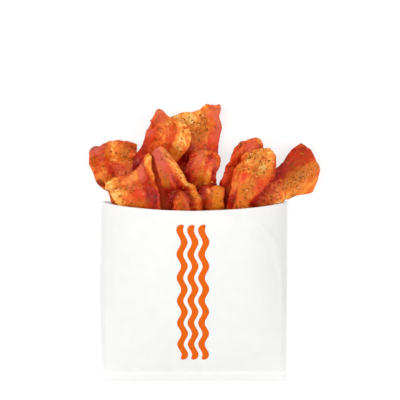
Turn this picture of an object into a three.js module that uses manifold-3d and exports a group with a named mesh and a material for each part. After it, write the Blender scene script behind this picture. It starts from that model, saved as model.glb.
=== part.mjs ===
// Fried bacon strips in an open paper sleeve that lies on its back, in millimetres, +Z up.
// +Y runs from the sleeve's glued bottom to its mouth, and +X to the right of someone who
// looks down on the front panel. Each strip is a wavy ribbon that follows a few stations,
// with the largest flakes of its cracked pepper fused on.
import * as THREE from 'three';
import Module from 'manifold-3d';

// ---------------------------------------------------------------- driving dimensions

const sleeve = {
  width: 114.3, // flat width, 4 1/2 in
  length: 115.5, // from the bottom crease to the mouth
  paper: 0.6, // wall of the solid, thicker than the real paper so that it stays one body
  seamGap: 0.5, // clear space between the panels where they meet at a fold
  bottomFlap: 6.5, // height of the bottom, folded over once and glued on the front
  flapPaper: 0.7, // how much the flap adds to the front
  crest: 21.5, // how high the filled front panel stands above the back at the mouth
  foldLift: 4, // how far the side folds rise off the table at the mouth
  flatShare: 0.45, // share of the half width on which the back panel lies flat
  mouthDrawIn: 1.4, // how far the bulge pulls each side fold in at the mouth
  leftBow: 1.2, // the left fold's outward bow at mid length
  lipDrop: 1.4, // how far the lip is drawn in at its middle, where the front panel climbs most
  color: '#f4f4f2',
};

const stripThickness = 2.6;
const edgeThinning = 0.4; // share of the thickness that the two long edges lose
const edgeWander = 0.45; // how far the long edges wander out and in
const stepLength = 4.5; // mean length of a facet along the strip
const stepCrowding = 0.1; // makes the facets shorter towards the tip, where the strip is seen
const widthSteps = 8;

const pepper = {
  radius: [0.6, 1], // of the smallest and the largest flake
  rise: 0.35, // height of a flake's rim above the strip
  peak: 0.8, // height of its peak
  root: 0.9, // how deep it is sunk
  corners: 5,
  clearance: 0.35, // least distance from anything but its own strip
  seed: 11,
};

// A strip's stations run from its root in the sleeve to its tip. Each one is
// [x, y, z, width, roll in degrees about the strip's own line, height of the ripple].
// tip holds how far the end is cut beyond the last station, from the left edge to the right.
// waves, phase and skew set the ripple. curl is how far the left and right edges turn up,
// and groove is [place across the strip from -1 to 1, depth, half width] of a lengthways fold.
// peppered is [flakes, from and to along the strip, from and to across it].
const strips = [
  {
    name: 'strip_far_left',
    color: '#c9552c',
    stations: [
      [-27, 58, 2.6, 20, 0, 0.2],
      [-30.5, 77.5, 2.9, 21, 0, 0.2],
      [-34, 96.5, 3.8, 22, 0, 0.3],
      [-41, 120.5, 5, 19.5, 0, 0.4],
      [-47, 139, 6, 29, -4, 2],
      [-48, 150.5, 5.6, 28, -4, 2],
    ],
    tip: [-1, 0.5, 2, 1.5, -1.5],
    waves: 4.6,
    phase: 0.1,
    skew: 0.8,
    curl: [4, 0],
    groove: [-0.1, 1.8, 0.3],
    peppered: [16, 0.62, 0.97, -0.75, 0.8],
  },
  {
    name: 'strip_front_left',
    color: '#df7f45',
    stations: [
      [-21, 60.5, 10, 22, 0, 0.2],
      [-24.5, 78.5, 10.8, 24, 4, 0.2],
      [-28, 96, 12.4, 26, 9, 0.2],
      [-30, 110, 13.1, 24, 18, 0.3],
      [-36, 126.5, 15.8, 28.5, 9, 1.4],
      [-39, 137.5, 18.6, 30, -3, 1.6],
    ],
    tip: [-3.5, -2.5, -3, -0.5, 5.5],
    waves: 4.2,
    phase: 0.5,
    skew: 1,
    curl: [0, 0],
    groove: [0.75, 3, 0.3],
    peppered: [15, 0.58, 0.95, -0.85, 0.8],
  },
  {
    name: 'strip_centre_left',
    color: '#d8602f',
    stations: [
      [-21, 59.5, 6.4, 21, 0, 0.2],
      [-22.5, 78.5, 6.9, 22, 0, 0.2],
      [-24.5, 97.5, 7.3, 22.5, 2, 0.2],
      [-26, 115.5, 8.8, 26, 3, 0.4],
      [-25.5, 136, 10.8, 21.5, 0, 1.4],
      [-15, 156.5, 11.8, 26.5, 0, 2],
      [-15.5, 167.5, 12.8, 21, 0, 2],
    ],
    tip: [0, 5.5, 1.5, -2, -6],
    waves: 4.8,
    phase: 0.35,
    skew: -0.6,
    curl: [1.5, 0],
    groove: [0.3, 1.8, 0.22],
    peppered: [15, 0.6, 0.96, -0.7, 0.85],
  },
  {
    name: 'strip_tall_centre',
    color: '#dc8040',
    stations: [
      [7, 53, 2.6, 19, 0, 0.2],
      [7, 73.5, 2.7, 20, 0, 0.2],
      [7, 93.5, 3, 21, 0, 0.2],
      [5.5, 113, 3.6, 21.5, 0, 0.5],
      [-0.5, 135, 3.9, 24.5, 0, 1.2],
      [2.5, 155, 3.8, 26, 0, 1.9],
      [1, 169.5, 4.2, 29.5, 0, 2],
    ],
    tip: [-1.5, 0.5, 0.5, 3.5, 3],
    waves: 5.4,
    phase: 0.2,
    skew: 0.4,
    curl: [0, 1.5],
    groove: [0.45, 1.2, 0.2],
    peppered: [18, 0.72, 0.98, -0.85, 0.8],
  },
  {
    name: 'strip_centre_red',
    color: '#b84a30',
    stations: [
      [5, 59.5, 6.3, 17, 0, 0.2],
      [5, 78.5, 6.7, 17, 0, 0.2],
      [4.5, 97.5, 7.2, 17, 0, 0.2],
      [4, 114, 8.2, 17, 0, 0.4],
      [3.5, 132, 10.2, 19, 0, 1.2],
      [7.5, 146.5, 12.6, 18.5, 0, 1.4],
    ],
    tip: [-4, 0.5, 1.5, 2.5, 0.5],
    waves: 4.4,
    phase: 0.6,
    skew: 0.5,
    curl: [2, 2],
    groove: [0, 0.8, 0.3],
    peppered: [8, 0.7, 0.96, -0.8, 0.8],
  },
  {
    name: 'strip_low_amber',
    color: '#c86a25',
    stations: [
      [10, 60.5, 10.2, 18, 0, 0.2],
      [10, 74, 10.7, 18, 0, 0.2],
      [9.5, 87.5, 11.3, 18, 0, 0.2],
      [9, 100.5, 12.1, 18, 0, 0.3],
      [8.5, 113.5, 13.4, 18, 0, 0.5],
      [9.5, 127, 15.2, 16, 0, 0.8],
    ],
    tip: [-2, 0, 0, 1, 0.5],
    waves: 3.6,
    phase: 0.1,
    skew: 0,
    curl: [0, 1.2],
    groove: [-0.3, 1.2, 0.3],
    peppered: [6, 0.8, 0.97, -0.8, 0.8],
  },
  {
    name: 'strip_centre_front',
    color: '#c25a45',
    stations: [
      [-5, 62, 13.9, 18, 0, 0.2],
      [-4.5, 80.5, 14.4, 18, 0, 0.2],
      [-3.5, 99, 15.3, 18, 3, 0.3],
      [-4.5, 117.5, 17, 18, 6, 0.5],
      [-10.5, 130, 20.5, 17.5, 22, 1.6],
      [-21, 151, 22.5, 10.5, 22, 1.4],
    ],
    tip: [-0.5, -0.5, 1, 0.5, -3],
    waves: 4.8,
    phase: 0.25,
    skew: 0.6,
    curl: [0, 1.5],
    groove: [0, 0, 0.2],
    peppered: [15, 0.56, 0.93, -0.8, 0.8],
  },
  {
    name: 'strip_low_lobe',
    color: '#cf5f38',
    stations: [
      [-11, 79, 17.5, 12, 0, 0.1],
      [-10.5, 88, 17.9, 12, 0, 0.1],
      [-9.5, 96.5, 18.6, 12.5, 0, 0.2],
      [-9, 105.5, 19.4, 13, 0, 0.2],
      [-7.5, 112.5, 20.2, 11, 0, 0.3],
      [-7, 125, 23.2, 9.5, 8, 0.4],
    ],
    tip: [-1.5, 1, 1, 0, -5],
    waves: 2.8,
    phase: 0.1,
    skew: 0,
    curl: [0, 0],
    groove: [0, 0, 0.2],
    peppered: [4, 0.8, 0.96, -0.6, 0.6],
  },
  {
    name: 'strip_back_right',
    color: '#cc4a28',
    stations: [
      [29, 59.5, 6.3, 19, 0, 0.2],
      [28, 78.5, 6.7, 20, 0, 0.2],
      [27, 97.5, 7.4, 21, 0, 0.3],
      [24.5, 118, 9, 21, 0, 0.6],
      [29, 136.5, 10.8, 21, 0, 1.4],
      [32.5, 153.5, 12.4, 16.5, 0, 1.6],
    ],
    tip: [-5, -1, 0.5, 2.5, 0],
    waves: 4.8,
    phase: 0.05,
    skew: 0.5,
    curl: [2.5, 0],
    groove: [0, 0, 0.2],
    peppered: [8, 0.66, 0.96, -0.85, 0.3],
  },
  {
    name: 'strip_front_right',
    color: '#e09040',
    stations: [
      [29, 60.5, 10.2, 16, 0, 0.2],
      [28.5, 78.5, 10.9, 17, 0, 0.2],
      [29, 96, 12.2, 19, -3, 0.3],
      [27.5, 116, 14.4, 16.5, -14, 0.6],
      [35.5, 137, 16.8, 24.5, -6, 1.5],
      [36.5, 147.5, 18.4, 17, 0, 1.8],
    ],
    tip: [-2, 0, 2.5, 3, 3.5],
    waves: 4.4,
    phase: 0.4,
    skew: -0.6,
    curl: [2, 0],
    groove: [-0.6, 1.6, 0.25],
    peppered: [20, 0.58, 0.97, -0.8, 0.85],
  },
  {
    name: 'strip_far_right',
    color: '#c25024',
    stations: [
      [31.5, 58, 2.6, 20, 0, 0.2],
      [32, 76, 2.7, 21, 0, 0.2],
      [34.5, 94, 3.2, 21, 0, 0.2],
      [39.5, 111, 4.9, 17.5, 0, 0.2],
      [50, 124, 4.8, 17.5, 0, 0.8],
      [71.5, 141.5, 5.2, 28.5, 0, 1.8],
    ],
    tip: [0, 1.5, 0.5, -2, -12.5],
    waves: 4.7,
    phase: 0.6,
    skew: 0.7,
    curl: [2.5, 0],
    groove: [0, 1.2, 0.4],
    peppered: [22, 0.62, 0.97, -0.8, 0.85],
  },
];

// ---------------------------------------------------------------- shared helpers

const wasm = await Module();
wasm.setup();

function smoothStep(from, to, value) {
  const share = THREE.MathUtils.clamp((value - from) / (to - from), 0, 1);
  return share * share * (3 - 2 * share);
}

// A smooth curve through the points, which sit at even steps of its parameter.
function splineThrough(points) {
  return new THREE.CatmullRomCurve3(points, false, 'catmullrom', 0.5);
}

// A closed body from a list of THREE.Vector3 and a list of triangles.
function body(points, triangles) {
  const vertProperties = new Float32Array(points.flatMap((point) => point.toArray()));
  const triVerts = new Uint32Array(triangles.flat());
  return new wasm.Manifold(new wasm.Mesh({ numProp: 3, vertProperties, triVerts }));
}

// A named mesh of a closed body.
function namedMesh(name, whole, material) {
  const { vertProperties, triVerts } = whole.getMesh();
  const geometry = new THREE.BufferGeometry();
  geometry.setAttribute('position', new THREE.BufferAttribute(vertProperties, 3));
  geometry.setIndex(new THREE.BufferAttribute(triVerts, 1));
  geometry.computeVertexNormals();
  const mesh = new THREE.Mesh(geometry, material);
  mesh.name = name;
  return mesh;
}

function quad(triangles, a, b, c, d) {
  triangles.push([a, b, c], [a, c, d]);
}

// ---------------------------------------------------------------- bacon strips

const curlStart = 0.55; // share of the length where a strip leaves the sleeve and opens out
const curlFull = 0.8;
const tipStart = 0.72; // share of the length that the slanted end reaches back to
const middleRipple = 0.65; // ripple at the strip's middle, as a share of its edges'

const halfThickness = (across) => (stripThickness / 2) * (1 - edgeThinning * across ** 6);

// The strip's middle surface: a function of (along, across), from 0 to 1 and from -1 to 1.
function stripSurface(strip) {
  const path = splineThrough(strip.stations.map(([x, y, z]) => new THREE.Vector3(x, y, z)));
  const form = splineThrough(
    strip.stations.map(([, , , width, roll, ripple]) => new THREE.Vector3(width, roll, ripple)),
  );
  const endCut = splineThrough(strip.tip.map((reach) => new THREE.Vector3(reach, 0, 0)));
  const up = new THREE.Vector3(0, 0, 1);

  return (along, across) => {
    const centre = path.getPoint(along);
    const tangent = path.getTangent(along);
    const { x: width, y: roll, z: ripple } = form.getPoint(along);
    const side = new THREE.Vector3().crossVectors(tangent, up).normalize();
    side.applyAxisAngle(tangent, THREE.MathUtils.degToRad(-roll));
    const face = new THREE.Vector3().crossVectors(side, tangent);

    const edge = across * across;
    const wave = Math.sin(2 * Math.PI * (strip.waves * along + strip.phase) + strip.skew * across);
    const [grooveAt, grooveDepth, grooveHalf] = strip.groove;
    const curl = across < 0 ? strip.curl[0] : strip.curl[1];
    const fold = grooveDepth * Math.exp(-(((across - grooveAt) / grooveHalf) ** 2));
    const opened = smoothStep(curlStart, curlFull, along);
    const rise = ripple * wave * (middleRipple + (1 - middleRipple) * edge);
    const height = rise + opened * (curl * edge - fold);
    const reach = endCut.getPoint((across + 1) / 2).x * smoothStep(tipStart, 1, along);
    const wander = edgeWander * Math.sin(2 * Math.PI * 1.7 * strip.waves * along + 2 * across);

    return centre
      .addScaledVector(side, (width / 2 + wander) * across)
      .addScaledVector(face, height)
      .addScaledVector(tangent, reach);
  };
}

// The bare ribbon, its faces split into facets that get shorter towards the tip.
function ribbon(strip, surface) {
  const line = strip.stations.map(([x, y, z]) => new THREE.Vector3(x, y, z));
  const lengthSteps = Math.round(splineThrough(line).getLength() / stepLength);
  const columns = widthSteps + 1;
  const middle = [];
  for (let i = 0; i <= lengthSteps; i++) {
    const share = i / lengthSteps;
    const along = share + stepCrowding * Math.sin(Math.PI * share);
    for (let j = 0; j <= widthSteps; j++) {
      middle.push(surface(along, (2 * j) / widthSteps - 1));
    }
  }
  const at = (i, j) => i * columns + j;
  const pointAt = (i, j) =>
    middle[at(THREE.MathUtils.clamp(i, 0, lengthSteps), THREE.MathUtils.clamp(j, 0, widthSteps))];

  const upper = [];
  const lower = [];
  for (let i = 0; i <= lengthSteps; i++) {
    for (let j = 0; j <= widthSteps; j++) {
      const alongward = new THREE.Vector3().subVectors(pointAt(i + 1, j), pointAt(i - 1, j));
      const crossward = new THREE.Vector3().subVectors(pointAt(i, j + 1), pointAt(i, j - 1));
      const normal = crossward.cross(alongward).normalize();
      const half = halfThickness((2 * j) / widthSteps - 1);
      upper.push(pointAt(i, j).clone().addScaledVector(normal, half));
      lower.push(pointAt(i, j).clone().addScaledVector(normal, -half));
    }
  }

  const triangles = [];
  const below = upper.length;
  for (let i = 0; i < lengthSteps; i++) {
    for (let j = 0; j < widthSteps; j++) {
      const [a, b, c, d] = [at(i, j), at(i, j + 1), at(i + 1, j + 1), at(i + 1, j)];
      quad(triangles, a, b, c, d);
      triangles.push([below + a, below + c, below + b], [below + a, below + d, below + c]);
    }
  }

  // The rim joins both faces all round, anticlockwise as seen from above.
  const rim = [];
  for (let j = 0; j < widthSteps; j++) rim.push(at(0, j));
  for (let i = 0; i < lengthSteps; i++) rim.push(at(i, widthSteps));
  for (let j = widthSteps; j > 0; j--) rim.push(at(lengthSteps, j));
  for (let i = lengthSteps; i > 0; i--) rim.push(at(i, 0));
  rim.forEach((a, k) => {
    const b = rim[(k + 1) % rim.length];
    quad(triangles, a, below + a, below + b, b);
  });
  return body([...upper, ...lower], triangles);
}

// ---------------------------------------------------------------- cracked pepper

const random = () => THREE.MathUtils.seededRandom();
const between = ([low, high]) => THREE.MathUtils.lerp(low, high, random());

// One flake: a rim of uneven corners, a peak off its middle and a root below. grow adds to
// its size all round.
function flakePoints(place, normal, shape, grow = 0) {
  const turn = new THREE.Quaternion().setFromUnitVectors(new THREE.Vector3(0, 0, 1), normal);
  const local = shape.corners.map(
    ([angle, reach]) =>
      new THREE.Vector3(
        (reach + grow) * Math.cos(angle),
        (reach + grow) * Math.sin(angle),
        pepper.rise,
      ),
  );
  local.push(new THREE.Vector3(...shape.peak, pepper.peak + grow));
  local.push(new THREE.Vector3(0, 0, -pepper.root));
  return local.map((point) => point.applyQuaternion(turn).add(place));
}

function flakeShape() {
  const radius = between(pepper.radius);
  const corners = [];
  for (let k = 0; k < pepper.corners; k++) {
    const angle = (2 * Math.PI * (k + 0.6 * random())) / pepper.corners;
    corners.push([angle, radius * (0.75 + 0.4 * random())]);
  }
  const offset = 0.3 * radius;
  return { corners, peak: [offset * (2 * random() - 1), offset * (2 * random() - 1)] };
}

const flakeTriangles = [];
for (let k = 0; k < pepper.corners; k++) {
  const next = (k + 1) % pepper.corners;
  const peak = pepper.corners;
  const root = pepper.corners + 1;
  flakeTriangles.push([k, next, peak], [next, k, root]);
}

// Places spread evenly over the peppered stretch, by steps that never line up.
const evenSteps = [0.7549, 0.5698];

function pepperedStrip(strip, surface, bare, others) {
  const [count, fromAlong, toAlong, fromAcross, toAcross] = strip.peppered;
  const nudge = 0.01;
  let whole = bare;
  for (let k = 1; k <= count; k++) {
    const along = THREE.MathUtils.lerp(fromAlong, toAlong, (k * evenSteps[0]) % 1);
    const across = THREE.MathUtils.lerp(fromAcross, toAcross, (k * evenSteps[1]) % 1);
    const place = surface(along, across);
    const alongward = surface(along + nudge, across).sub(surface(along - nudge, across));
    const crossward = surface(along, across + nudge).sub(surface(along, across - nudge));
    const normal = crossward.cross(alongward).normalize();
    place.addScaledVector(normal, halfThickness(across));
    const shape = flakeShape();
    const room = body(flakePoints(place, normal, shape, pepper.clearance), flakeTriangles);
    if (others.every((other) => room.intersect(other).isEmpty())) {
      whole = whole.add(body(flakePoints(place, normal, shape), flakeTriangles));
    }
  }
  return whole;
}

// ---------------------------------------------------------------- paper sleeve

const panelSteps = 14; // columns of each panel
const sleeveRows = 12; // rows between the flap and the mouth
const flapEdge = 0.05; // half height of the step at the flap's upper edge
const pocketBottom = 1; // where the pocket starts above the bottom crease

const lengthShare = (y) => y / sleeve.length;

function foldX(y, side) {
  const share = lengthShare(y);
  const bow = side < 0 ? sleeve.leftBow * Math.sin(Math.PI * share) : 0;
  return side * (sleeve.width / 2 - sleeve.mouthDrawIn * share ** 2) - bow;
}

// Height of the back panel's outer face, flat in the middle and lifted towards the folds.
function backZ(across, y) {
  const outside = Math.max(0, Math.abs(across) - sleeve.flatShare) / (1 - sleeve.flatShare);
  return sleeve.foldLift * lengthShare(y) ** 1.5 * outside ** 2;
}

// The bulge of the front panel across the sleeve, from 1 in the middle to 0 at the folds.
const bulgeFullness = 3.4; // a higher power keeps the bulge full nearer to the folds
const bulge = (across) => 1 - Math.abs(across) ** bulgeFullness;
const lipShape = (across) => (1 - Math.abs(across)) ** 1.5; // from 1 in the middle to 0

function frontInnerZ(across, y) {
  const filled = 1 - (1 - lengthShare(y)) ** 2;
  const flatHeight = backZ(across, y) + sleeve.paper + sleeve.seamGap;
  return flatHeight + sleeve.crest * filled * bulge(across);
}

// One closed loop round the sleeve: the back panel left to right, then the front panel back.
function sleeveLoop(y, inner, flapPaper = 0) {
  const inset = inner ? sleeve.paper : 0;
  const left = foldX(y, -1) + inset;
  const right = foldX(y, 1) - inset;
  const columns = [];
  for (let k = 0; k <= panelSteps; k++) {
    const even = (2 * k) / panelSteps - 1;
    const crowded = -Math.cos((Math.PI * k) / panelSteps); // closer together at the folds
    columns.push((even + crowded) / 2);
  }
  const xAt = (across) => (left + right) / 2 + ((right - left) / 2) * across;
  const back = columns.map(
    (across) => new THREE.Vector3(xAt(across), y, backZ(across, y) + inset),
  );
  const front = columns.toReversed().map((across) => {
    const z = frontInnerZ(across, y) + (inner ? 0 : sleeve.paper + flapPaper);
    const lip = y - sleeve.lipDrop * lengthShare(y) ** 2 * lipShape(across);
    return new THREE.Vector3(xAt(across), lip, z);
  });
  return [...back, ...front];
}

function paperSleeve() {
  const rows = [];
  for (let k = 1; k <= sleeveRows; k++) {
    rows.push(THREE.MathUtils.lerp(sleeve.bottomFlap, sleeve.length, k / sleeveRows));
  }
  const outside = [
    sleeveLoop(0, false, sleeve.flapPaper),
    sleeveLoop(sleeve.bottomFlap - flapEdge, false, sleeve.flapPaper),
    sleeveLoop(sleeve.bottomFlap + flapEdge, false),
    ...rows.map((y) => sleeveLoop(y, false)),
  ];
  const inside = [
    sleeveLoop(pocketBottom, true),
    sleeveLoop(sleeve.bottomFlap, true),
    ...rows.map((y) => sleeveLoop(y, true)),
  ];
  const points = [...outside, ...inside].flat();
  const loopSize = outside[0].length;
  const firstInside = outside.length;
  const at = (loop, k) => loop * loopSize + (k % loopSize);

  const triangles = [];
  const join = (lower, upper, facingOut) => {
    for (let k = 0; k < loopSize; k++) {
      const corners = [at(lower, k), at(upper, k), at(upper, k + 1), at(lower, k + 1)];
      quad(triangles, ...(facingOut ? corners : corners.toReversed()));
    }
  };
  for (let loop = 0; loop < outside.length - 1; loop++) join(loop, loop + 1, true);
  for (let loop = 0; loop < inside.length - 1; loop++) {
    join(firstInside + loop, firstInside + loop + 1, false);
  }
  join(outside.length - 1, firstInside + inside.length - 1, true); // the paper's edge at the mouth

  // The bottom crease closes the outside, and the pocket has a bottom of its own.
  for (let k = 0; k < panelSteps; k++) {
    const across = [k, k + 1, loopSize - 2 - k, loopSize - 1 - k];
    quad(triangles, ...across.map((corner) => at(0, corner)));
    quad(triangles, ...across.toReversed().map((corner) => at(firstInside, corner)));
  }

  return body(points, triangles);
}

// ---------------------------------------------------------------- assembly

const paper = new THREE.MeshStandardMaterial({
  color: sleeve.color,
  roughness: 0.7,
  metalness: 0,
  side: THREE.DoubleSide,
});
const sleeveBody = paperSleeve();
const surfaces = strips.map(stripSurface);
const ribbons = strips.map((strip, k) => ribbon(strip, surfaces[k]));

const group = new THREE.Group();
group.name = 'bacon_strips_in_sleeve';
group.add(namedMesh('paper_sleeve', sleeveBody, paper));
THREE.MathUtils.seededRandom(pepper.seed);
strips.forEach((strip, k) => {
  const others = [sleeveBody, ...ribbons.toSpliced(k, 1)];
  const fried = new THREE.MeshStandardMaterial({
    color: strip.color,
    roughness: 0.38,
    metalness: 0,
  });
  group.add(namedMesh(strip.name, pepperedStrip(strip, surfaces[k], ribbons[k], others), fried));
});

// The origin goes to the middle of the bounding box's underside.
const bounds = new THREE.Box3().setFromObject(group);
const middle = bounds.getCenter(new THREE.Vector3());
group.position.set(-middle.x, -middle.y, -bounds.min.z);

export default group;
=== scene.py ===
import math

import bmesh
import bpy
import numpy as np
from mathutils import Matrix, Vector
from mathutils.bvhtree import BVHTree


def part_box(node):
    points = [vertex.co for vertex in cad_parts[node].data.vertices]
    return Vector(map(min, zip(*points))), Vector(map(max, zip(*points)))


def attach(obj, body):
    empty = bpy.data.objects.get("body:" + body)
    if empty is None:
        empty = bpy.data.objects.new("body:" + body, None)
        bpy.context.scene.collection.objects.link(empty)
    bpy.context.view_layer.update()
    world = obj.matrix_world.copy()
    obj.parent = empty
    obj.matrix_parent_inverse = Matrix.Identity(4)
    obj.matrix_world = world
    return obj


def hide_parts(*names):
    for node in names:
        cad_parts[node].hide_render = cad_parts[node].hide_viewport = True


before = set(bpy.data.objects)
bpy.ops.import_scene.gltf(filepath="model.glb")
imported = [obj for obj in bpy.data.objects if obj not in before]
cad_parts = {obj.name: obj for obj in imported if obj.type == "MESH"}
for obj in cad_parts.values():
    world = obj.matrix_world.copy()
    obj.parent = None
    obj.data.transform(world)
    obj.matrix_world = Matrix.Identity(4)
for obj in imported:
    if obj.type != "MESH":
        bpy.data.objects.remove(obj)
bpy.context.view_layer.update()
mm = 0.001  # every size below is in millimetres, and Blender works in metres

# Everything is laid out in the sleeve's own coordinates: x 0 in its middle, y 0 at its bottom
# crease, z 0 on the table, with y towards the mouth.
sleeve = {
    "width": 114.3,  # flat width, 4 1/2 in
    "length": 115.5,
    "paper": 0.3,  # drawn thicker than real paper, so that its edge shows at the mouth
    "seam": 1.7,  # what the two panels and their gap measure beside a fold
    "foldThickness": 1.1,  # the same at the very fold, where the paper is pressed
    "foldMargin": 0.055,  # share of the half width that the pressing reaches in from a fold
    "foldSteps": 6,  # points round a fold
    "flap": 6.5,  # height of the folded and glued bottom
    "flapPaper": 0.7,
    "flapStep": 0.06,  # half height of the step where the flap ends
    "flapRows": 6,
    "creaseRound": 1.2,  # the bottom crease is rounded over this height
    "creaseRows": 8,
    "pocketFoot": 2.0,  # where the pocket starts inside
    "crest": 21.5,  # how far the strips lift the middle of the mouth
    "fullness": 3.4,  # how square the swollen panel is across
    "foldLift": 4.0,  # how far the side folds rise off the table at the mouth
    "liftGrowth": 1.5,
    "flatShare": 0.45,  # share of the half width that lies flat on the table
    "mouthDrawIn": 1.4,
    "leftBow": 1.2,
    "lipDrop": 1.4,  # the lip is drawn in most at the middle, where the panel climbs most
    "lipGrowth": 1.5,
    "columns": 104,
    "rowStep": 1.0,
}

low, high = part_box("paper_sleeve")
home = np.array([high.x / mm - sleeve["width"] / 2, low.y / mm, low.z / mm])


def smooth(start, end, value):
    share = np.clip((value - start) / (end - start), 0, 1)
    return share * share * (3 - 2 * share)


def patchwork(x, y, cell, seed):
    # a smooth random field from -1 to 1, with one draw for every cell of that many mm
    count = 64  # cells before the field repeats
    draws = np.random.default_rng(seed).uniform(-1, 1, (count, count))
    u, v = np.asarray(x) / cell, np.asarray(y) / cell
    i, j = np.floor(u).astype(int), np.floor(v).astype(int)
    shareU, shareV = smooth(0, 1, u - i), smooth(0, 1, v - j)
    i, j, nextI, nextJ = i % count, j % count, (i + 1) % count, (j + 1) % count
    below = draws[i, j] * (1 - shareU) + draws[nextI, j] * shareU
    above = draws[i, nextJ] * (1 - shareU) + draws[nextI, nextJ] * shareU
    return below * (1 - shareV) + above * shareV


def splineAt(points, share):
    # the curve through evenly spaced points that the solids follow as well
    points = np.asarray(points, float)
    last = len(points) - 1
    place = np.asarray(share) * last
    cell = np.clip(np.floor(place).astype(int), 0, last - 1)
    f = (place - cell)[..., None]
    padded = np.vstack([2 * points[0] - points[1], points, 2 * points[-1] - points[-2]])
    a, b, c, d = (padded[cell + k] for k in range(4))
    return 0.5 * (
        2 * b + (c - a) * f + (2 * a - 5 * b + 4 * c - d) * f**2 + (3 * b - a - 3 * c + d) * f**3
    )


def unit(vectors):
    return vectors / np.maximum(np.linalg.norm(vectors, axis=-1, keepdims=True), 1e-9)


def toFrame(place):
    # mm in the sleeve's coordinates to metres in the frame
    return (np.asarray(place, float) + home) * mm


def newPiece(name, points, faces, material):
    mesh = bpy.data.meshes.new(name)
    mesh.from_pydata(toFrame(np.reshape(points, (-1, 3))).tolist(), [], faces)
    mesh.shade_smooth()
    mesh.materials.append(material)
    piece = bpy.data.objects.new(name, mesh)
    bpy.context.scene.collection.objects.link(piece)
    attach(piece, "root")
    return piece


def storeOn(piece, name, values, kind="FLOAT"):
    attribute = piece.data.attributes.new(name, kind, "POINT")
    field = "vector" if kind == "FLOAT_VECTOR" else "value"
    attribute.data.foreach_set(field, np.ascontiguousarray(values, np.float32).ravel())


def hexColour(text):
    channels = [int(text[k : k + 2], 16) / 255 for k in (1, 3, 5)]
    linear = [c / 12.92 if c <= 0.04045 else ((c + 0.055) / 1.055) ** 2.4 for c in channels]
    return (*linear, 1.0)


def addNode(tree, kind, inputs=None, stops=None, output=0, **settings):
    # inputs are values or other nodes' outputs, by the name or number of the input
    node = tree.nodes.new("ShaderNode" + kind)
    for name, value in settings.items():
        setattr(node, name, value)
    for name, value in (inputs or {}).items():
        if isinstance(value, bpy.types.NodeSocket):
            tree.links.new(value, node.inputs[name])
        else:
            node.inputs[name].default_value = value
    if stops:
        ramp = node.color_ramp
        while len(ramp.elements) < len(stops):
            ramp.elements.new(0.5)
        for element, (place, colour) in zip(ramp.elements, stops):
            element.position = place
            element.color = hexColour(colour)
    return node.outputs[output]


def newMaterial(name, **shaderInputs):
    material = bpy.data.materials.new(name)
    material.use_nodes = True
    tree = material.node_tree
    shader = tree.nodes["Principled BSDF"]
    for socket, value in shaderInputs.items():
        shader.inputs[socket.replace("_", " ")].default_value = value
    return material, tree, shader


belly = {
    "mottle": 3.2,  # size of the mottling that breaks up the streaks
    "fibre": (0.8, 7.0),  # width and length of the bundles of lean
    "grain": 0.45,  # fried crumb of the surface
    "speck": 0.8,  # ground pepper, coarser than real so that it shows
    "frays": {"marbling": 0.36, "fibre": 0.45, "grain": 0.16},  # what frays the streaks
    "reliefs": {"fibre": 0.6, "mottle": 0.9},  # beside the grain at 1
    "bump": (0.7, 0.4),  # strength and depth
    "dustPull": 0.24,  # how much closer the specks lie where it is dusted
    "marblingCover": (0.33, 0.67, 1.0),  # where it sets in, where it is full, and how much then
    "dustCover": (0.66, 0.8, 0.75),
    "charCover": (0.12, 0.5, 0.9),
    "roughness": (0.36, 0.75),  # where glazed and where dusted
    "tissue": [
        (0.0, "#860a03"),  # lean, shrunk and dark
        (0.16, "#a81b06"),
        (0.34, "#c54110"),
        (0.52, "#d65b1c"),  # glazed meat
        (0.7, "#e2772a"),
        (0.86, "#ee993e"),
        (1.0, "#f4bc64"),  # fat, fried through
    ],
    "glazePoolAndPaintedLight": "#d43c12",  # where the glaze pools, and painted light: the same red brightens some shaded hollows to crimson
    "blushAndSheen": "#cf5a48",  # pink lean with a painted sheen, where the lean faces the light
    "amber": "#d0720f",  # burnt sugar
    "dust": "#8c5019",
    "char": "#4a1c0a",
}


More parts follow.
